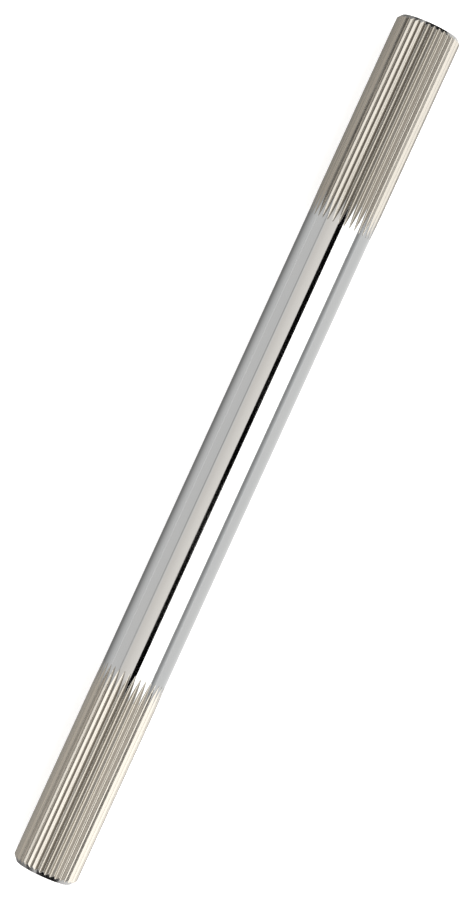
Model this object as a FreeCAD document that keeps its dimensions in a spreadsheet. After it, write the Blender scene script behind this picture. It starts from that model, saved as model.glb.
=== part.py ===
import FreeCAD, Part
import math
import os
import Sketcher

# A round steel bar with a fine straight spline on each end.
#
# The bar lies along X and its middle is the origin. The front end is at +X, the rear end at -X.
# Each end carries V grooves all round. A disc cutter forms them, so every groove runs at full depth
# from the end face and then rises along the cutter's arc until it fades out in the plain bar.
# The crests stand a little proud of the plain bar, and that step fades out inside the same run-out.

SHEET = "Sizes"
SIZES = [
    ("overall_length", 258.0, "end face to end face"),
    ("bar_diameter", 18.90, "plain polished stretch between the splines"),
    ("spline_diameter", 19.05, "over the tooth crests"),
    ("spline_length", 61.0, "end face to the tips of the groove run-outs"),
    ("run_out", 7.5, "length over which each groove rises to the surface"),
    ("step_start", 2.0, "groove tips to the start of the crests' rise above the plain bar"),
    ("step_length", 5.0, "length of that rise"),
    ("tooth_count", 36, "teeth on each end"),
    ("groove_depth", 0.62, "crest to groove floor, in the full-depth stretch"),
    ("groove_angle", 95.0, "included angle of the V, in degrees"),
    ("groove_floor", 0.25, "width of the flat floor of the V"),
    ("cutter_overrun", 0.50, "how far the cutter's section stands out of the bar"),
    ("front_clocking", -3.0, "turn of the front spline about the bar, in degrees"),
    ("rear_clocking", -5.6, "turn of the rear spline about the bar, in degrees"),
    ("front_chamfer", 1.05, "radial depth of the front chamfer"),
    ("rear_chamfer", 1.35, "radial depth of the rear chamfer"),
    ("chamfer_angle", 40.0, "slope of both chamfers to the bar's axis, in degrees"),
    ("centre_mouth", 5.3, "mouth diameter of the centre-drilled holes"),
    ("centre_angle", 60.0, "included angle of their locating cone, in degrees"),
    ("centre_pilot", 2.5, "pilot diameter"),
    ("centre_depth", 5.5, "depth of the pilot's full diameter below the end face"),
    ("drill_angle", 118.0, "included angle of the pilot's tip, in degrees"),
]

# Lengths that follow from the driving sizes, written as expressions on the sheet.
HALF_LENGTH = f"{SHEET}.overall_length / 2"
CREST_RADIUS = f"{SHEET}.spline_diameter / 2"
BAR_RADIUS = f"{SHEET}.bar_diameter / 2"
FLOOR_RADIUS = f"({CREST_RADIUS} - {SHEET}.groove_depth)"
TIP_POSITION = f"({HALF_LENGTH} - {SHEET}.spline_length)"
FULL_DEPTH_POSITION = f"({TIP_POSITION} + {SHEET}.run_out)"
STEP_FOOT = f"({TIP_POSITION} + {SHEET}.step_start)"
STEP_TOP = f"({STEP_FOOT} + {SHEET}.step_length)"
RISE = f"({BAR_RADIUS} - {FLOOR_RADIUS})"
CUTTER_RADIUS = f"(({SHEET}.run_out ^ 2 + {RISE} ^ 2) / (2 * {RISE}))"
CUTTER_TOP = f"({CREST_RADIUS} + {SHEET}.cutter_overrun)"
HALF_FLOOR = f"{SHEET}.groove_floor / 2"
HALF_TOP = (
    f"({HALF_FLOOR} + ({CUTTER_TOP} - {FLOOR_RADIUS}) * tan({SHEET}.groove_angle / 2 * 1 deg))"
)
CONE_DEPTH = (
    f"(({SHEET}.centre_mouth - {SHEET}.centre_pilot) / 2 / tan({SHEET}.centre_angle / 2 * 1 deg))"
)
DRILL_TIP = f"({SHEET}.centre_pilot / 2 / tan({SHEET}.drill_angle / 2 * 1 deg))"
CHAMFER_SLOPE = f"tan({SHEET}.chamfer_angle * 1 deg)"

ORIGIN_POINT = (-1, 1)


def make_sheet(doc):
    """The spreadsheet of driving sizes: a note, the number, and the number's alias."""
    sheet = doc.addObject("Spreadsheet::Sheet", SHEET)
    for row, (alias, value, note) in enumerate(SIZES, start=1):
        sheet.set(f"A{row}", note)
        sheet.set(f"B{row}", str(value))
        sheet.setAlias(f"B{row}", alias)
    doc.recompute()
    return sheet


def origin_feature(body, role):
    """One of the body's own planes or axes, such as XZ_Plane or X_Axis."""
    for feature in body.Origin.OriginFeatures:
        if feature.Role == role:
            return feature
    raise ValueError(f"the body has no origin feature {role}")


def new_sketch(body, name, plane):
    sketch = body.newObject("Sketcher::SketchObject", name)
    sketch.AttachmentSupport = [(origin_feature(body, plane), "")]
    sketch.MapMode = "FlatFace"
    return sketch


def value_of(doc, expression):
    """The number that an expression gives now, used as a first position for a sketch point."""
    return float(FreeCAD.Units.Quantity(doc.getObject(SHEET).evalExpression(expression)).Value)


def hold_point(sketch, geometry, position, expressions):
    """Ties a sketch point's two coordinates to expressions on the sheet. An axis point is just 0."""
    kinds = ("DistanceX", "DistanceY")
    for kind, expression in zip(kinds, expressions):
        value = value_of(sketch.Document, expression)
        constraint = Sketcher.Constraint(kind, *ORIGIN_POINT, geometry, position, value)
        index = sketch.addConstraint(constraint)
        if expression != "0":
            name = f"{kind}_{geometry}_{position}"
            sketch.renameConstraint(index, name)
            sketch.setExpression(f"Constraints.{name}", expression)


def draw_outline(sketch, corners):
    """A closed outline of straight lines through corners, each an (x, y) pair of expressions."""
    doc = sketch.Document
    points = [FreeCAD.Vector(value_of(doc, x), value_of(doc, y), 0) for x, y in corners]
    count = len(points)
    for i in range(count):
        sketch.addGeometry(Part.LineSegment(points[i], points[(i + 1) % count]), False)
    for i in range(count):
        sketch.addConstraint(Sketcher.Constraint("Coincident", i, 2, (i + 1) % count, 1))
    for i, corner in enumerate(corners):
        hold_point(sketch, i, 1, corner)
    doc.recompute()
    return sketch


def make_blank(body):
    """The turned bar: plain middle, the two slightly proud spline ends and their chamfers."""
    sketch = new_sketch(body, "bar_outline", "XZ_Plane")
    front_chamfer = f"{SHEET}.front_chamfer"
    rear_chamfer = f"{SHEET}.rear_chamfer"
    corners = [
        (f"-{HALF_LENGTH}", "0"),
        (f"-{HALF_LENGTH}", f"{CREST_RADIUS} - {rear_chamfer}"),
        (f"-{HALF_LENGTH} + {rear_chamfer} / {CHAMFER_SLOPE}", CREST_RADIUS),
        (f"-{STEP_TOP}", CREST_RADIUS),
        (f"-{STEP_FOOT}", BAR_RADIUS),
        (STEP_FOOT, BAR_RADIUS),
        (STEP_TOP, CREST_RADIUS),
        (f"{HALF_LENGTH} - {front_chamfer} / {CHAMFER_SLOPE}", CREST_RADIUS),
        (HALF_LENGTH, f"{CREST_RADIUS} - {front_chamfer}"),
        (HALF_LENGTH, "0"),
    ]
    draw_outline(sketch, corners)
    blank = body.newObject("PartDesign::Revolution", "bar_blank")
    blank.Profile = sketch
    blank.ReferenceAxis = (sketch, ["H_Axis"])
    blank.Angle = 360
    body.Document.recompute()
    return blank


def make_centre_hole(body, name, side):
    """A centre-drilled hole in one end face: a 60 degree cone and a pilot with a drilled tip."""
    sketch = new_sketch(body, f"{name}_outline", "XZ_Plane")
    face = f"{side} * {HALF_LENGTH}"
    pilot_radius = f"{SHEET}.centre_pilot / 2"
    corners = [
        (face, "0"),
        (face, f"{SHEET}.centre_mouth / 2"),
        (f"{face} - {side} * {CONE_DEPTH}", pilot_radius),
        (f"{face} - {side} * {SHEET}.centre_depth", pilot_radius),
        (f"{face} - {side} * ({SHEET}.centre_depth + {DRILL_TIP})", "0"),
    ]
    draw_outline(sketch, corners)
    hole = body.newObject("PartDesign::Groove", name)
    hole.Profile = sketch
    hole.ReferenceAxis = (sketch, ["H_Axis"])
    hole.Angle = 360
    body.Document.recompute()
    return hole


def make_spline(body, name, side, clocking):
    """One end's teeth: a straight V groove, the cutter's arc at its inner end, and 36 of both."""
    sketch = new_sketch(body, f"{name}_groove_section", "YZ_Plane")
    sketch.setExpression(".AttachmentOffset.Base.z", f"{side} * {FULL_DEPTH_POSITION}")
    sketch.setExpression(".AttachmentOffset.Rotation.Angle", clocking)
    corners = [
        (f"-{HALF_FLOOR}", FLOOR_RADIUS),
        (HALF_FLOOR, FLOOR_RADIUS),
        (HALF_TOP, CUTTER_TOP),
        (f"-{HALF_TOP}", CUTTER_TOP),
    ]
    draw_outline(sketch, corners)
    draw_cutter_axis(sketch)

    groove = body.newObject("PartDesign::Pocket", f"{name}_groove")
    groove.Profile = sketch
    groove.Type = "Length"
    groove.setExpression("Length", f"{SHEET}.spline_length")
    groove.Reversed = side > 0
    body.Document.recompute()

    run_out = body.newObject("PartDesign::Groove", f"{name}_run_out")
    run_out.Profile = sketch
    run_out.ReferenceAxis = (sketch, ["Axis0"])
    run_out.Angle = 360
    body.Document.recompute()

    teeth = body.newObject("PartDesign::PolarPattern", f"{name}_teeth")
    teeth.Originals = [groove, run_out]
    teeth.Axis = (origin_feature(body, "X_Axis"), [""])
    teeth.Angle = 360
    teeth.setExpression("Occurrences", f"{SHEET}.tooth_count")
    body.Tip = teeth
    body.Document.recompute()
    return teeth


def draw_cutter_axis(sketch):
    """The disc cutter's axis: a construction line across the bar, one cutter radius above the floor."""
    height = f"({FLOOR_RADIUS} + {CUTTER_RADIUS})"
    level = value_of(sketch.Document, height)
    ends = [FreeCAD.Vector(-1, level, 0), FreeCAD.Vector(1, level, 0)]
    line = sketch.addGeometry(Part.LineSegment(*ends), True)
    hold_point(sketch, line, 1, (f"-{SHEET}.groove_depth", height))
    hold_point(sketch, line, 2, (f"{SHEET}.groove_depth", height))
    sketch.Document.recompute()


def check_removed(label, before, after):
    """A cut that points away from the bar removes nothing, so every cut is measured."""
    removed = before - after
    print(f"{label}: removed {removed:.2f} mm3")
    if removed <= 0:
        raise RuntimeError(f"{label} removed no material")


def check_grooves(doc, shape):
    """Every groove of both ends must be open, half way along the spline and half way along its run-out."""
    count = int(value_of(doc, f"{SHEET}.tooth_count"))
    places = [
        (f"{HALF_LENGTH} - {SHEET}.spline_length / 2", f"{FLOOR_RADIUS} + {SHEET}.groove_depth / 10"),
        (f"{TIP_POSITION} + {SHEET}.run_out / 2", f"{FLOOR_RADIUS} + {RISE} * 0.75"),
    ]
    probes = [(value_of(doc, along), value_of(doc, out)) for along, out in places]
    for name, side in (("front", 1), ("rear", -1)):
        start = value_of(doc, f"{SHEET}.{name}_clocking")
        for tooth in range(count):
            angle = math.radians(start + 360 * tooth / count)
            for along, out in probes:
                point = FreeCAD.Vector(side * along, -out * math.sin(angle), out * math.cos(angle))
                if shape.isInside(point, 0.001, True):
                    raise RuntimeError(f"groove {tooth} of the {name} spline is not cut right through")


def check_document(doc, nodes):
    for item in doc.Objects:
        if {"Invalid", "Error"} & set(item.State):
            raise RuntimeError(f"{item.Name} failed: {item.State}")
    for node in nodes:
        shape = node.Shape
        if shape.isNull() or not shape.isValid() or len(shape.Solids) != 1:
            raise RuntimeError(f"{node.Label} is not one valid solid")


def make_splined_shaft(doc):
    body = doc.addObject("PartDesign::Body", "SplinedShaft")
    body.Label = "splined_shaft"
    blank = make_blank(body)
    volume = blank.Shape.Volume
    for name, side in (("front_centre_hole", 1), ("rear_centre_hole", -1)):
        hole = make_centre_hole(body, name, side)
        check_removed(name, volume, hole.Shape.Volume)
        volume = hole.Shape.Volume
    for name, side in (("front", 1), ("rear", -1)):
        teeth = make_spline(body, name, side, f"{SHEET}.{name}_clocking")
        check_removed(f"{name} spline", volume, teeth.Shape.Volume)
        volume = teeth.Shape.Volume
    body.Placement = FreeCAD.Placement()
    return body


def main():
    doc = FreeCAD.newDocument("SplinedShaft")
    make_sheet(doc)
    nodes = [make_splined_shaft(doc)]
    doc.recompute()
    check_document(doc, nodes)
    check_grooves(doc, nodes[0].Shape)
    os.makedirs("parts", exist_ok=True)
    for node in nodes:
        node.Shape.exportStep(f"parts/{node.Label}.step")
        box = node.Shape.BoundBox
        size = f"{box.XLength:.3f} x {box.YLength:.3f} x {box.ZLength:.3f} mm"
        print(f"{node.Label}: {size}, {node.Shape.Volume:.1f} mm3, {len(node.Shape.Faces)} faces")


main()
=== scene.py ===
import math

import bpy
import numpy as np
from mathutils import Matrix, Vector


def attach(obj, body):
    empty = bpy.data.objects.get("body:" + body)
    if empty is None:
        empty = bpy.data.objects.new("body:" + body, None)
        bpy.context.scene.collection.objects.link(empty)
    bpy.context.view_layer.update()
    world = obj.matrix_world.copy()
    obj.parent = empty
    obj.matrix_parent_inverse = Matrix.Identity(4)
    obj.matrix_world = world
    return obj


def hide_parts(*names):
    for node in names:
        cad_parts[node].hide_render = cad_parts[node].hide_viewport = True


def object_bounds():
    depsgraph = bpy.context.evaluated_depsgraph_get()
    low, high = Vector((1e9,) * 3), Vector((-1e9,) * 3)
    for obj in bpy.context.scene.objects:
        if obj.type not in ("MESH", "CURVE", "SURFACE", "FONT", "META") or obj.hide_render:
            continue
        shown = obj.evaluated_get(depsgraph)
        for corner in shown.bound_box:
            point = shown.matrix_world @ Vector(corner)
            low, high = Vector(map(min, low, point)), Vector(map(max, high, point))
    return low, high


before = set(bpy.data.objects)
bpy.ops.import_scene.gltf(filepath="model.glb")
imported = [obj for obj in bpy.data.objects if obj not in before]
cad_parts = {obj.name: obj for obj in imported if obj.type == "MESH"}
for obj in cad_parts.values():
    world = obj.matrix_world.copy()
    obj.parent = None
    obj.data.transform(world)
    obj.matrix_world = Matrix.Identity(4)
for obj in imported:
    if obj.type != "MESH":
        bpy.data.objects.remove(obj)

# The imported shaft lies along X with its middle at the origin. All lengths here are in metres.
cad_low, cad_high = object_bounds()

MM = 0.001
NODE = "splined_shaft"

# The design's sizes. The frame gives the length and the radius over the teeth.
HALF_LENGTH = cad_high.x
CREST_RADIUS = 9.525 * MM
BAR_RADIUS = 9.45 * MM
SPLINE_LENGTH = 61.0 * MM
RUN_OUT = 7.5 * MM
STEP_START = 2.0 * MM
STEP_LENGTH = 5.0 * MM
TOOTH_COUNT = 36
GROOVE_DEPTH = 0.62 * MM
GROOVE_HALF_ANGLE = math.radians(47.5)
HALF_FLOOR = 0.125 * MM
FRONT_CHAMFER = 1.05 * MM
REAR_CHAMFER = 1.35 * MM
CHAMFER_ANGLE = math.radians(40.0)
FRONT_CLOCKING = math.radians(-3.0)
REAR_CLOCKING = math.radians(-5.6)
CENTRE_MOUTH_RADIUS = 2.65 * MM
CENTRE_PILOT_RADIUS = 1.25 * MM
CENTRE_DEPTH = 5.5 * MM
CENTRE_HALF_ANGLE = math.radians(30.0)
DRILL_HALF_ANGLE = math.radians(59.0)

# Small radii that cutting and polishing leave on the real teeth.
NOSE_RADIUS = 0.32 * MM
CREST_EDGE_RADIUS = 0.05 * MM

FLOOR_RADIUS = CREST_RADIUS - GROOVE_DEPTH
RISE = BAR_RADIUS - FLOOR_RADIUS
CUTTER_RADIUS = (RUN_OUT**2 + RISE**2) / (2 * RISE)
CUTTER_AXIS_HEIGHT = FLOOR_RADIUS + CUTTER_RADIUS
TIP_X = HALF_LENGTH - SPLINE_LENGTH
FULL_DEPTH_X = TIP_X + RUN_OUT
PITCH = 2 * math.pi / TOOTH_COUNT

# Material slots of the shaft's mesh.
BAR, GROOVE, FACED, BORE = range(4)

# Columns of half a pitch, from the groove's centre to the land's centre: shares of the groove's
# half width, then three columns round the crest's edge, then the land.
GROOVE_SHARES = (0.0, 0.07, 0.14, 0.20, 0.45, 0.72)
EDGE_COLUMN = len(GROOVE_SHARES)
LAND_SHARES = (0.5, 1.0)
HALF_COLUMNS = EDGE_COLUMN + 3 + len(LAND_SHARES) - 1
COLUMNS_PER_TOOTH = 2 * HALF_COLUMNS
SMALLEST_HALF_WIDTH = 0.05 * MM


# ---------------------------------------------------------------- one tooth's section

def flank_height(across):
    """The cutter's edge: its height above the V's apex and its slope. Straight flanks, round nose."""
    if across >= NOSE_RADIUS * math.cos(GROOVE_HALF_ANGLE):
        return across / math.tan(GROOVE_HALF_ANGLE), 1 / math.tan(GROOVE_HALF_ANGLE)
    drop = math.sqrt(NOSE_RADIUS**2 - across**2)
    return NOSE_RADIUS / math.sin(GROOVE_HALF_ANGLE) - drop, across / drop


def groove_point(x, across):
    """Height of the groove's surface above the bar's axis and its normal (along, across, up).

    The cutter is a disc, so its arc lifts the groove out of the bar between FULL_DEPTH_X and TIP_X.
    """
    along = max(0.0, FULL_DEPTH_X - x)
    height, slope = flank_height(across)
    reach = CUTTER_RADIUS + HALF_FLOOR / math.tan(GROOVE_HALF_ANGLE) - height
    drop = math.sqrt(max(reach**2 - along**2, 0.0))
    normal = Vector((along / reach, -slope, drop / reach)).normalized()
    return CUTTER_AXIS_HEIGHT - drop, normal


def groove_half_width(x, radius):
    """Half of the groove's width where it meets the outer surface, as a distance across the bar."""
    low, high = 0.0, PITCH / 2
    for _ in range(40):
        angle = (low + high) / 2
        if groove_point(x, radius * math.sin(angle))[0] < radius * math.cos(angle):
            low = angle
        else:
            high = angle
    return radius * math.sin(low)


def section(x, radius, outer_normal, spread):
    """Half a pitch at x: (angle, radius, normal) of each column, the normal as (along, around, out).

    outer_normal is the outer surface's (along, out). Where there is no groove, spread moves the columns
    from the groove's lines (0) to an even pitch (1).
    """
    depth_here = radius - groove_point(x, 0.0)[0]
    width = groove_half_width(x, radius) if depth_here > 0 else 0.0
    corner = max(width, SMALLEST_HALF_WIDTH)
    corner_angle = math.asin(corner / radius)
    slope = groove_point(x, corner)[1]
    turn = math.atan2(-slope.y, slope.z) + corner_angle
    reach = CREST_EDGE_RADIUS * math.tan(turn / 2) if width > SMALLEST_HALF_WIDTH else corner / 8
    reach = min(reach, corner / 4)

    groove_side = corner - reach * math.cos(turn - corner_angle)
    columns = [outer_or_groove(x, radius, outer_normal, share * groove_side) for share in GROOVE_SHARES]
    before = outer_or_groove(x, radius, outer_normal, groove_side)
    land_angle = corner_angle + reach / radius
    after = (land_angle, radius, Vector((outer_normal[0], 0.0, outer_normal[1])))
    corner_point = (corner_angle, min(radius, math.hypot(corner, groove_point(x, corner)[0])))
    middle = (
        (before[0] + 2 * corner_point[0] + after[0]) / 4,
        (before[1] + 2 * corner_point[1] + after[1]) / 4,
        (before[2] + after[2]).normalized(),
    )
    columns += [before, middle, after]
    for share in LAND_SHARES:
        columns.append((land_angle + (PITCH / 2 - land_angle) * share, radius, after[2]))

    even = [PITCH / 2 * i / HALF_COLUMNS for i in range(HALF_COLUMNS + 1)]
    return [
        (angle + (level - angle) * spread, out, normal)
        for (angle, out, normal), level in zip(columns, even)
    ]


def outer_or_groove(x, radius, outer_normal, across):
    """The lower of the groove and the outer surface, as a column's (angle, radius, normal)."""
    outer_height = math.sqrt(radius**2 - across**2)
    height, normal = groove_point(x, across)
    if height >= outer_height:
        angle = math.asin(across / radius)
        return angle, radius, Vector((outer_normal[0], 0.0, outer_normal[1]))
    angle = math.atan2(across, height)
    around = normal.y * math.cos(angle) - normal.z * math.sin(angle)
    out = normal.y * math.sin(angle) + normal.z * math.cos(angle)
    return angle, math.hypot(across, height), Vector((normal.x, around, out))


# ---------------------------------------------------------------- the shaft's rows

# The columns follow the grooves' lines where there are grooves. They move to an even pitch over
# TIP_SPREAD along the plain bar, and over FACE_SPREAD inwards from the groove floors on an end face.
TIP_SPREAD = 3.0 * MM
FACE_SPREAD = 0.35 * MM

# Numbers of rows, and powers that crowd them towards the groove tips.
MIDDLE_ROWS = 11
TIP_ROWS = 5
TIP_CROWDING = 1.6
RUN_OUT_ROWS = 24
RUN_OUT_CROWDING = 1.25

# Steps along each line of the turned profile, and the size of the eased corner after each line.
TURNED_STEPS = (3, 10, 2, 1, 1, 1)
TURNED_CORNERS = (0.05 * MM, 0.06 * MM, 0.05 * MM, 0.03 * MM, 0.03 * MM)


def smooth_step(t):
    """0 to 1 as t goes from 0 to 1, level at both ends."""
    t = min(max(t, 0.0), 1.0)
    return t * t * (3 - 2 * t)


def middle_rows():
    """Rows of the plain bar between the two splines, without the stretch beside each groove tip."""
    reach = TIP_X - TIP_SPREAD
    return [
        {"x": -reach + 2 * reach * i / (MIDDLE_ROWS - 1), "radius": BAR_RADIUS, "normal": (0.0, 1.0),
         "spread": 1.0, "outer": BAR, "inner": BAR}
        for i in range(MIDDLE_ROWS)
    ]


def run_out_rows():
    """Rows from beside the groove tips to the start of the full-depth stretch."""
    rows = []
    for i in range(1, TIP_ROWS + 1):
        t = (1 - i / (TIP_ROWS + 1)) ** TIP_CROWDING
        rows.append({"x": TIP_X - TIP_SPREAD * t, "radius": BAR_RADIUS, "normal": (0.0, 1.0),
                     "spread": smooth_step(t), "outer": BAR, "inner": BAR})
    step = CREST_RADIUS - BAR_RADIUS
    for i in range(RUN_OUT_ROWS):
        along = RUN_OUT * (i / RUN_OUT_ROWS) ** RUN_OUT_CROWDING
        risen = min(max((along - STEP_START) / STEP_LENGTH, 0.0), 1.0)
        lean = math.atan2(step, STEP_LENGTH) if 0.0 < risen < 1.0 else 0.0
        rows.append({"x": TIP_X + along, "radius": BAR_RADIUS + step * risen,
                     "normal": (-math.sin(lean), math.cos(lean)), "spread": 0.0,
                     "outer": BAR, "inner": GROOVE})
    return rows


def turned_rows(chamfer):
    """Rows from the full-depth stretch over the chamfer and the end face down into the centre hole."""
    cone_depth = (CENTRE_MOUTH_RADIUS - CENTRE_PILOT_RADIUS) / math.tan(CENTRE_HALF_ANGLE)
    drill_tip = CENTRE_PILOT_RADIUS / math.tan(DRILL_HALF_ANGLE)
    profile = [
        Vector((FULL_DEPTH_X, CREST_RADIUS)),
        Vector((HALF_LENGTH - chamfer / math.tan(CHAMFER_ANGLE), CREST_RADIUS)),
        Vector((HALF_LENGTH, CREST_RADIUS - chamfer)),
        Vector((HALF_LENGTH, CENTRE_MOUTH_RADIUS)),
        Vector((HALF_LENGTH - cone_depth, CENTRE_PILOT_RADIUS)),
        Vector((HALF_LENGTH - CENTRE_DEPTH, CENTRE_PILOT_RADIUS)),
        Vector((HALF_LENGTH - CENTRE_DEPTH - drill_tip, 0.0)),
    ]
    slots = (GROOVE, FACED, FACED, BORE, BORE, BORE)
    rows = []
    for i, steps in enumerate(TURNED_STEPS):
        start, end = profile[i], profile[i + 1]
        direction = (end - start).normalized()
        normal = Vector((-direction.y, direction.x))
        if i > 0:
            start = start + direction * TURNED_CORNERS[i - 1]
        if i < len(TURNED_CORNERS):
            end = end - direction * TURNED_CORNERS[i]
        if i > 0:
            before = rows[-1]
            corner = profile[i]
            last = Vector((before["x"], before["radius"]))
            middle = (last + 2 * corner + start) / 4
            between = (Vector(before["normal"]) + normal).normalized()
            rows.append(turned_row(middle, between, slots[i]))
        last_step = steps if i < len(TURNED_CORNERS) else steps - 1
        for k in range(last_step + 1):
            rows.append(turned_row(start.lerp(end, k / steps), normal, slots[i]))
    return rows


def turned_row(point, normal, slot):
    """One row of the turned profile, with the grooves in it where it is above their floor."""
    x, radius = point
    floor = groove_point(x, 0.0)[0]
    grooved = radius > floor and slot in (GROOVE, FACED)
    spread = 0.0 if radius > floor else smooth_step((floor - radius) / FACE_SPREAD)
    return {"x": x, "radius": radius, "normal": tuple(normal), "spread": spread,
            "outer": slot, "inner": GROOVE if grooved else slot}


def clocking(x):
    """Turn of the columns about the bar: each end's own on its spline, and a slow twist between."""
    t = min(max((x + TIP_X) / (2 * TIP_X), 0.0), 1.0)
    return REAR_CLOCKING + (FRONT_CLOCKING - REAR_CLOCKING) * t


def ring(row, side):
    """Points and normals of one row all round the bar. side is 1 at the front end and -1 at the rear."""
    half = section(row["x"], row["radius"], row["normal"], row["spread"])
    tooth = half + [(PITCH - a, out, Vector((n.x, -n.y, n.z))) for a, out, n in half[-2:0:-1]]
    angles = np.array([column[0] for column in tooth])
    radii = np.array([column[1] for column in tooth])
    normals = np.array([tuple(column[2]) for column in tooth])
    turn = clocking(side * row["x"]) + PITCH * np.arange(TOOTH_COUNT)
    around = (turn[:, None] + angles[None, :]).ravel()
    radii, normals = np.tile(radii, TOOTH_COUNT), np.tile(normals, (TOOTH_COUNT, 1))
    sine, cosine = np.sin(around), np.cos(around)
    points = np.stack([np.full_like(around, side * row["x"]), -radii * sine, radii * cosine], 1)
    normal_y = -normals[:, 1] * cosine - normals[:, 2] * sine
    normal_z = -normals[:, 1] * sine + normals[:, 2] * cosine
    return points, np.stack([side * normals[:, 0], normal_y, normal_z], 1)


def make_shaft():
    """The whole bar as one closed mesh: rows along it, and 20 columns to a tooth all round it."""
    rear = [(row, -1) for row in run_out_rows() + turned_rows(REAR_CHAMFER)]
    front = [(row, 1) for row in run_out_rows() + turned_rows(FRONT_CHAMFER)]
    rows = rear[::-1] + [(row, 1) for row in middle_rows()] + front
    rings = [ring(row, side) for row, side in rows]
    columns = TOOTH_COUNT * COLUMNS_PER_TOOTH
    points = np.concatenate([p for p, _ in rings])
    normals = np.concatenate([n for _, n in rings])

    tip_x = HALF_LENGTH - CENTRE_DEPTH - CENTRE_PILOT_RADIUS / math.tan(DRILL_HALF_ANGLE)
    points = np.concatenate([points, [(-tip_x, 0, 0), (tip_x, 0, 0)]])
    normals = np.concatenate([normals, [(-1, 0, 0), (1, 0, 0)]])

    faces, slots = [], []
    for r in range(len(rows) - 1):
        lower, upper = rows[r][0], rows[r + 1][0]
        for c in range(columns):
            following = (c + 1) % columns
            faces.append((r * columns + c, r * columns + following,
                          (r + 1) * columns + following, (r + 1) * columns + c))
            slots.append(face_slot(lower, upper, c % COLUMNS_PER_TOOTH))
    rear_tip, front_tip = len(points) - 2, len(points) - 1
    last = (len(rows) - 1) * columns
    for c in range(columns):
        following = (c + 1) % columns
        faces += [(rear_tip, following, c), (front_tip, last + c, last + following)]
        slots += [BORE, BORE]

    mesh = bpy.data.meshes.new("polished_shaft")
    mesh.from_pydata(points.tolist(), [], faces)
    mesh.polygons.foreach_set("material_index", slots)
    mesh.polygons.foreach_set("use_smooth", [True] * len(faces))
    mesh.normals_split_custom_set_from_vertices(normals.tolist())
    mesh.update()
    shaft = bpy.data.objects.new("polished_shaft", mesh)
    bpy.context.scene.collection.objects.link(shaft)
    return shaft


def face_slot(lower, upper, column):
    """The material slot of the face between two rows, in this column of a tooth."""
    in_groove = column < EDGE_COLUMN or column >= COLUMNS_PER_TOOTH - EDGE_COLUMN
    if in_groove and lower["inner"] == GROOVE and upper["inner"] == GROOVE:
        return GROOVE
    return max(lower["outer"], upper["outer"])


shaft = make_shaft()
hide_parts(NODE)
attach(shaft, "root")


# ---------------------------------------------------------------- materials

# Painted shade: the polished surface's colour darkens from here to FULL_DEPTH_X, where only narrow
# crests are left of it, down to the share below.
PAINTED_SHADE_START = TIP_X + 1.5 * MM
PAINTED_SHADE_SHARE = 0.5

# Painted light: the grooves' colour is this much brighter at the rear groove tips and beyond than at the
# front ones.
REAR_PAINTED_LIGHT = 1.19

# Height above the groove floor over which the root's even colour, a little brighter than the flanks'
# middle as a faint painted highlight, gives way to the brushed flanks.
ROOT_HEIGHT = 0.3 * MM

# The end faces are rougher than the chamfers by FACE_DULLNESS, up to DULL_FACE_RADIUS from the axis.
# From there to CHAMFER_RADIUS, near the rear chamfer's inner edge, this fades to nothing.
DULL_FACE_RADIUS = CREST_RADIUS - 1.5 * MM
CHAMFER_RADIUS = CREST_RADIUS - 1.3 * MM
FACE_DULLNESS = 0.16


def new_material(name):
    """A metal material with its node tree and its Principled shader."""
    material = bpy.data.materials.new(name)
    material.use_nodes = True
    tree = material.node_tree
    shader = tree.nodes["Principled BSDF"]
    shader.inputs["Metallic"].default_value = 1.0
    return material, tree, shader


def node(tree, kind, **settings):
    """A new node of this kind, with its settings."""
    made = tree.nodes.new(kind)
    for key, value in settings.items():
        setattr(made, key, value)
    return made


def streaks(tree, per_mm, detail=3.0):
    """Noise on the object's own coordinates, with its grain per millimetre along X, Y and Z."""
    place = node(tree, "ShaderNodeTexCoord")
    stretch = node(tree, "ShaderNodeMapping")
    stretch.inputs["Scale"].default_value = [value / MM for value in per_mm]
    noise = node(tree, "ShaderNodeTexNoise")
    noise.inputs["Scale"].default_value = 1.0
    noise.inputs["Detail"].default_value = detail
    tree.links.new(place.outputs["Object"], stretch.inputs["Vector"])
    tree.links.new(stretch.outputs["Vector"], noise.inputs["Vector"])
    return noise.outputs["Fac"]


def ranged(tree, value, low, high, to_low, to_high):
    """value, moved from low..high to to_low..to_high and held there."""
    made = node(tree, "ShaderNodeMapRange")
    made.inputs["From Min"].default_value = low
    made.inputs["From Max"].default_value = high
    made.inputs["To Min"].default_value = to_low
    made.inputs["To Max"].default_value = to_high
    tree.links.new(value, made.inputs["Value"])
    return made.outputs["Result"]


def maths(tree, operation, first, second):
    """A Math node's result. Each input is a socket or a float."""
    made = node(tree, "ShaderNodeMath", operation=operation)
    for socket, value in zip(made.inputs, (first, second)):
        if isinstance(value, float):
            socket.default_value = value
        else:
            tree.links.new(value, socket)
    return made.outputs["Value"]


def mixed_colour(tree, factor, first, second):
    """first where factor is 0, second where it is 1."""
    made = node(tree, "ShaderNodeMix", data_type="RGBA")
    tree.links.new(factor, made.inputs["Factor"])
    made.inputs["A"].default_value = (*first, 1.0)
    made.inputs["B"].default_value = (*second, 1.0)
    return made.outputs["Result"]


def bump(tree, height, depth, strength, under=None):
    """A bump of this depth in metres. under is the normal that it adds to."""
    made = node(tree, "ShaderNodeBump")
    made.inputs["Strength"].default_value = strength
    made.inputs["Distance"].default_value = depth
    tree.links.new(height, made.inputs["Height"])
    if under is not None:
        tree.links.new(under, made.inputs["Normal"])
    return made.outputs["Normal"]


def axis_distance(tree):
    """Distance from the bar's axis, in metres."""
    place = node(tree, "ShaderNodeTexCoord")
    flat = node(tree, "ShaderNodeVectorMath", operation="MULTIPLY")
    flat.inputs[1].default_value = (0.0, 1.0, 1.0)
    length = node(tree, "ShaderNodeVectorMath", operation="LENGTH")
    tree.links.new(place.outputs["Object"], flat.inputs[0])
    tree.links.new(flat.outputs["Vector"], length.inputs[0])
    return length.outputs["Value"]


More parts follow.
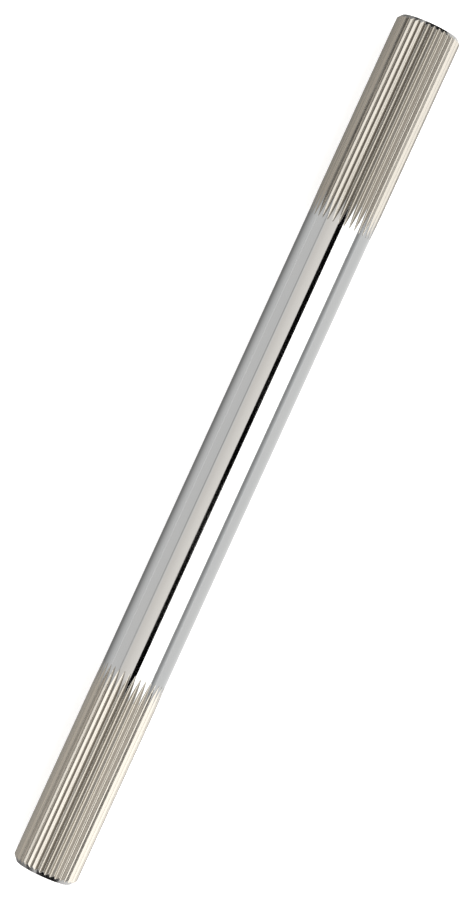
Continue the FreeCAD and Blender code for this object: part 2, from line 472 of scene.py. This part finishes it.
def along_axis(tree):
    """Distance along the bar from its middle, in metres, negative towards the rear end."""
    place = node(tree, "ShaderNodeTexCoord")
    split = node(tree, "ShaderNodeSeparateXYZ")
    tree.links.new(place.outputs["Object"], split.inputs["Vector"])
    return split.outputs["X"]


def scaled_colour(tree, colour, share):
    """colour times share, which are both sockets."""
    made = node(tree, "ShaderNodeVectorMath", operation="SCALE")
    tree.links.new(colour, made.inputs[0])
    tree.links.new(share, made.inputs["Scale"])
    return made.outputs["Vector"]


def polished_bar():
    """The plain bar: near mirror, with polishing lines and faint marks, and painted shade that darkens
    it between the grooves.
    """
    material, tree, shader = new_material("polished_bar")
    smudge = streaks(tree, (0.035, 0.16, 0.16), detail=4.0)
    grain = streaks(tree, (0.02, 2.4, 2.4))
    rings = streaks(tree, (5.0, 0.12, 0.12))
    colour = mixed_colour(tree, smudge, (0.545, 0.553, 0.553), (0.585, 0.585, 0.58))
    # Painted shade: the colour darkens to a share of itself over the narrow crests between the grooves.
    from_middle = maths(tree, "ABSOLUTE", along_axis(tree), 0.0)
    painted_shade = ranged(tree, from_middle, PAINTED_SHADE_START, FULL_DEPTH_X, 1.0, PAINTED_SHADE_SHARE)
    tree.links.new(scaled_colour(tree, colour, painted_shade), shader.inputs["Base Color"])
    rough = maths(tree, "ADD", ranged(tree, smudge, 0.35, 0.7, 0.05, 0.10),
                  ranged(tree, grain, 0.3, 0.7, 0.0, 0.03))
    tree.links.new(rough, shader.inputs["Roughness"])
    lines = bump(tree, grain, 0.0006 * MM, 0.6)
    tree.links.new(bump(tree, rings, 0.0002 * MM, 0.5, lines), shader.inputs["Normal"])
    return material


def cut_groove():
    """The grooves: warmer and duller than the bar, brushed lengthwise, with an even root painted a
    little brighter as a faint highlight, and painted light that brightens them towards the rear.
    """
    material, tree, shader = new_material("cut_groove")
    brushed = streaks(tree, (0.05, 5.0, 5.0))
    patches = streaks(tree, (0.08, 0.3, 0.3))
    lit = mixed_colour(tree, brushed, (0.272, 0.255, 0.226), (0.342, 0.32, 0.284))
    height = ranged(tree, axis_distance(tree), FLOOR_RADIUS, FLOOR_RADIUS + ROOT_HEIGHT, 0.0, 1.0)
    # Painted highlight: the root's even colour is a little brighter than the middle of the flanks'
    # colour.
    shade = node(tree, "ShaderNodeMix", data_type="RGBA")
    tree.links.new(height, shade.inputs["Factor"])
    shade.inputs["A"].default_value = (0.33, 0.308, 0.27, 1.0)
    tree.links.new(lit, shade.inputs["B"])
    # Painted light: the colour is scaled up from the front towards the rear.
    share = ranged(tree, along_axis(tree), -TIP_X, TIP_X, REAR_PAINTED_LIGHT, 1.0)
    tree.links.new(scaled_colour(tree, shade.outputs["Result"], share), shader.inputs["Base Color"])
    rough = maths(tree, "ADD", ranged(tree, brushed, 0.3, 0.7, 0.17, 0.25),
                  ranged(tree, patches, 0.3, 0.7, 0.0, 0.08))
    tree.links.new(rough, shader.inputs["Roughness"])
    tree.links.new(bump(tree, brushed, 0.004 * MM, 0.5), shader.inputs["Normal"])
    return material


def faced_end():
    """The chamfers and the duller end faces: turned, with fine rings about the axis."""
    material, tree, shader = new_material("faced_end")
    out = axis_distance(tree)
    turning = node(tree, "ShaderNodeTexNoise", noise_dimensions="1D")
    turning.inputs["Scale"].default_value = 9.0 / MM
    turning.inputs["Detail"].default_value = 2.0
    tree.links.new(out, turning.inputs["W"])
    patches = streaks(tree, (0.2, 0.25, 0.25))
    colour = mixed_colour(tree, patches, (0.46, 0.455, 0.445), (0.54, 0.535, 0.52))
    tree.links.new(colour, shader.inputs["Base Color"])
    inside = ranged(tree, out, DULL_FACE_RADIUS, CHAMFER_RADIUS, FACE_DULLNESS, 0.0)
    rough = maths(tree, "ADD", ranged(tree, turning.outputs["Fac"], 0.3, 0.7, 0.12, 0.2),
                  maths(tree, "ADD", ranged(tree, patches, 0.3, 0.7, 0.0, 0.06), inside))
    tree.links.new(rough, shader.inputs["Roughness"])
    tree.links.new(bump(tree, turning.outputs["Fac"], 0.002 * MM, 0.6), shader.inputs["Normal"])
    return material


def centre_hole():
    """The centre-drilled holes: dull, and darker towards the bottom."""
    material, tree, shader = new_material("centre_hole")
    turning = streaks(tree, (7.0, 0.3, 0.3))
    depth = ranged(tree, axis_distance(tree), 0.0, CENTRE_MOUTH_RADIUS, 0.0, 1.0)
    colour = mixed_colour(tree, depth, (0.20, 0.195, 0.185), (0.42, 0.415, 0.40))
    tree.links.new(colour, shader.inputs["Base Color"])
    tree.links.new(ranged(tree, turning, 0.3, 0.7, 0.25, 0.38), shader.inputs["Roughness"])
    tree.links.new(bump(tree, turning, 0.003 * MM, 0.6), shader.inputs["Normal"])
    return material


for make_material in (polished_bar, cut_groove, faced_end, centre_hole):
    shaft.data.materials.append(make_material())


# ---------------------------------------------------------------- camera

# BAR_LEAN is the bar's angle to the image's upright, and FRAME_LENGTH what the image's height spans.
CAMERA_DISTANCE = 0.85
BAR_LEAN = math.radians(24.6)
FRAME_LENGTH = 249.9 * MM
FRAME_SHIFT = 0.38 * MM

camera_data = bpy.data.cameras.new("camera")
camera_data.lens = camera_data.sensor_width * CAMERA_DISTANCE / FRAME_LENGTH
camera = bpy.data.objects.new("camera", camera_data)
image_right = Vector((math.sin(BAR_LEAN), -math.cos(BAR_LEAN), 0.0))
camera.location = image_right * FRAME_SHIFT + Vector((0.0, 0.0, CAMERA_DISTANCE))
camera.rotation_euler = (0.0, 0.0, math.atan2(image_right.y, image_right.x))
bpy.context.scene.collection.objects.link(camera)
bpy.context.scene.camera = camera


# ---------------------------------------------------------------- floor and studio light

def add_stage(name, mesh, material):
    """Puts a studio object, which is no part of the shaft, in the scene."""
    made = bpy.data.objects.new(name, mesh)
    made.data.materials.append(material)
    bpy.context.scene.collection.objects.link(made)
    return made


def glowing(name):
    """A material that gives off the light stored in the mesh's own radiance attribute."""
    material = bpy.data.materials.new(name)
    material.use_nodes = True
    tree = material.node_tree
    tree.nodes.clear()
    stored = node(tree, "ShaderNodeAttribute", attribute_name="radiance")
    light = node(tree, "ShaderNodeEmission")
    out = node(tree, "ShaderNodeOutputMaterial")
    tree.links.new(stored.outputs["Color"], light.inputs["Color"])
    tree.links.new(light.outputs["Emission"], out.inputs["Surface"])
    return material


def only_reflected(card):
    """Hides a card from everything but the shaft's reflections."""
    card.visible_camera = False
    card.visible_diffuse = False
    card.visible_shadow = False
    card.visible_transmission = False


SCREEN_RADIUS = 1.2
SCREEN_HALF_LENGTH = 0.9
SCREEN_STEP = 0.5

# The screen's brightness by angle from straight up, in degrees, negative to the image's left. The gap
# at 0 brightness is what makes the dark line along the middle of the bar.
SCREEN_STOPS = (
    (-90.0, 0.84), (-54.5, 0.82), (-54.0, 0.50), (-51.0, 0.50), (-50.5, 0.93), (-36.0, 0.97),
    (-30.0, 1.02), (-12.0, 1.12), (-6.4, 1.12), (-6.0, 0.0), (10.2, 0.0), (10.6, 3.0),
    (67.0, 3.0), (67.5, 0.60), (74.0, 0.34), (78.0, 0.48), (90.0, 0.91),
)

# How warm its light is, by the same angles: warmest left of the gap, slightly cool at the far right.
WARM_STOPS = (
    (-90.0, 0.1), (-52.0, 0.1), (-44.0, 1.0), (-10.0, 1.0), (20.0, 0.0), (70.0, 0.0), (75.0, -0.2),
)

# What a warmth of 1 adds to red, green and blue, as shares of the brightness.
WARM_TINT = np.array((0.04, -0.005, -0.055))


def make_screen():
    """A half cylinder of light over the bar, which the camera doesn't see."""
    angles = np.radians(np.arange(-90.0, 90.01, SCREEN_STEP))
    radiance = np.interp(np.degrees(angles), *zip(*SCREEN_STOPS))
    points, faces = [], []
    for x in (-SCREEN_HALF_LENGTH, SCREEN_HALF_LENGTH):
        points += [(x, -SCREEN_RADIUS * math.sin(a), SCREEN_RADIUS * math.cos(a)) for a in angles]
    count = len(angles)
    for i in range(count - 1):
        faces.append((i, i + 1, count + i + 1, count + i))
    mesh = bpy.data.meshes.new("studio_screen")
    mesh.from_pydata(points, [], faces)
    warmth = np.interp(np.degrees(angles), *zip(*WARM_STOPS))
    stored = mesh.attributes.new("radiance", "FLOAT_COLOR", "POINT")
    for i, (value, warm) in enumerate(zip(np.tile(radiance, 2), np.tile(warmth, 2))):
        stored.data[i].color = (*(value * (1 + WARM_TINT * warm)), 1.0)
    screen = add_stage("studio_screen", mesh, glowing("studio_light"))
    screen.visible_camera = False
    return screen


FLOOR_HALF_SIZE = 4.0


def make_floor():
    """A pale floor that the shaft lies on. It glows a little, so that it comes out nearly white."""
    mesh = bpy.data.meshes.new("floor")
    half, z = FLOOR_HALF_SIZE, -CREST_RADIUS
    corners = [(-half, -half, z), (half, -half, z), (half, half, z), (-half, half, z)]
    mesh.from_pydata(corners, [], [(0, 1, 2, 3)])
    material = bpy.data.materials.new("pale_floor")
    material.use_nodes = True
    shader = material.node_tree.nodes["Principled BSDF"]
    shader.inputs["Base Color"].default_value = (0.9, 0.9, 0.9, 1.0)
    shader.inputs["Roughness"].default_value = 0.9
    shader.inputs["Specular IOR Level"].default_value = 0.0
    shader.inputs["Emission Color"].default_value = (1.0, 1.0, 1.0, 1.0)
    shader.inputs["Emission Strength"].default_value = 0.5
    return add_stage("floor", mesh, material)


# The black cards: their distances from the bar's middle along X, their edges in Y, the height of the
# part that is turned up, and the gap that keeps them off the floor.
FLAG_NEAR = 0.172
FLAG_FAR = 0.40
FLAG_RIGHT = -0.20
FLAG_LEFT = 0.06
FLAG_HEIGHT = 0.12
FLAG_LIFT = 0.2 * MM


def make_flag(side):
    """A black card beyond one end, on the floor and turned up at the back, seen only in the shaft."""
    near, far, height = side * FLAG_NEAR, side * FLAG_FAR, FLAG_HEIGHT
    right, left = FLAG_RIGHT, FLAG_LEFT
    z = -CREST_RADIUS + FLAG_LIFT
    points = [(near, right, z), (near, left, z), (far, left, z), (far, right, z),
              (far, left, z + height), (far, right, z + height)]
    mesh = bpy.data.meshes.new("black_flag")
    mesh.from_pydata(points, [], [(0, 1, 2, 3), (3, 2, 4, 5)])
    material = bpy.data.materials.new("black_flag")
    material.use_nodes = True
    shader = material.node_tree.nodes["Principled BSDF"]
    shader.inputs["Base Color"].default_value = (0.0, 0.0, 0.0, 1.0)
    shader.inputs["Specular IOR Level"].default_value = 0.0
    only_reflected(add_stage("black_flag", mesh, material))


# What the shaft sees of the table beside it: brightness by distance from the bar's axis, in mm. On the
# left the dip near the bar is a painted shadow of the bar; on the right the rise near the bar is painted
# light.
TABLE_LEFT_PAINTED_SHADOW = (
    (9.0, 0.5), (11.5, 0.40), (14.0, 0.22), (19.0, 0.28), (27.0, 0.50), (45.0, 0.70), (90.0, 0.82),
    (1190.0, 0.85),
)
TABLE_RIGHT_PAINTED_LIGHT = ((9.0, 1.15), (14.0, 1.08), (20.0, 0.95), (1190.0, 0.92))
TABLE_HALF_LENGTH = 0.5
TABLE_LIFT = 0.1 * MM


def make_table_card(name, side, stops):
    """A glowing card just over the floor beside the bar, seen only in the shaft's reflections: the
    table, with painted shadow and light near the bar.
    """
    distances, radiance = zip(*stops)
    z = -CREST_RADIUS + TABLE_LIFT
    points, faces = [], []
    for x in (-TABLE_HALF_LENGTH, TABLE_HALF_LENGTH):
        points += [(x, -side * distance * MM, z) for distance in distances]
    count = len(distances)
    for i in range(count - 1):
        faces.append((i, i + 1, count + i + 1, count + i))
    mesh = bpy.data.meshes.new(name)
    mesh.from_pydata(points, [], faces)
    stored = mesh.attributes.new("radiance", "FLOAT_COLOR", "POINT")
    for i, value in enumerate(radiance * 2):
        stored.data[i].color = (value, value, value, 1.0)
    only_reflected(add_stage(name, mesh, glowing(name)))


make_screen()
make_floor()
# These cards paint the bar's shadow on the table to its left and a pool of light to its right, seen only
# in the shaft.
make_table_card("table_left_painted_shadow", -1, TABLE_LEFT_PAINTED_SHADOW)
make_table_card("table_right_painted_light", 1, TABLE_RIGHT_PAINTED_LIGHT)
for flag_side in (-1, 1):
    make_flag(flag_side)

world = bpy.data.worlds.new("studio")
world.use_nodes = True
world.node_tree.nodes["Background"].inputs["Color"].default_value = (1.0, 1.0, 1.0, 1.0)
bpy.context.scene.world = world
bpy.context.scene.view_settings.view_transform = "Standard"
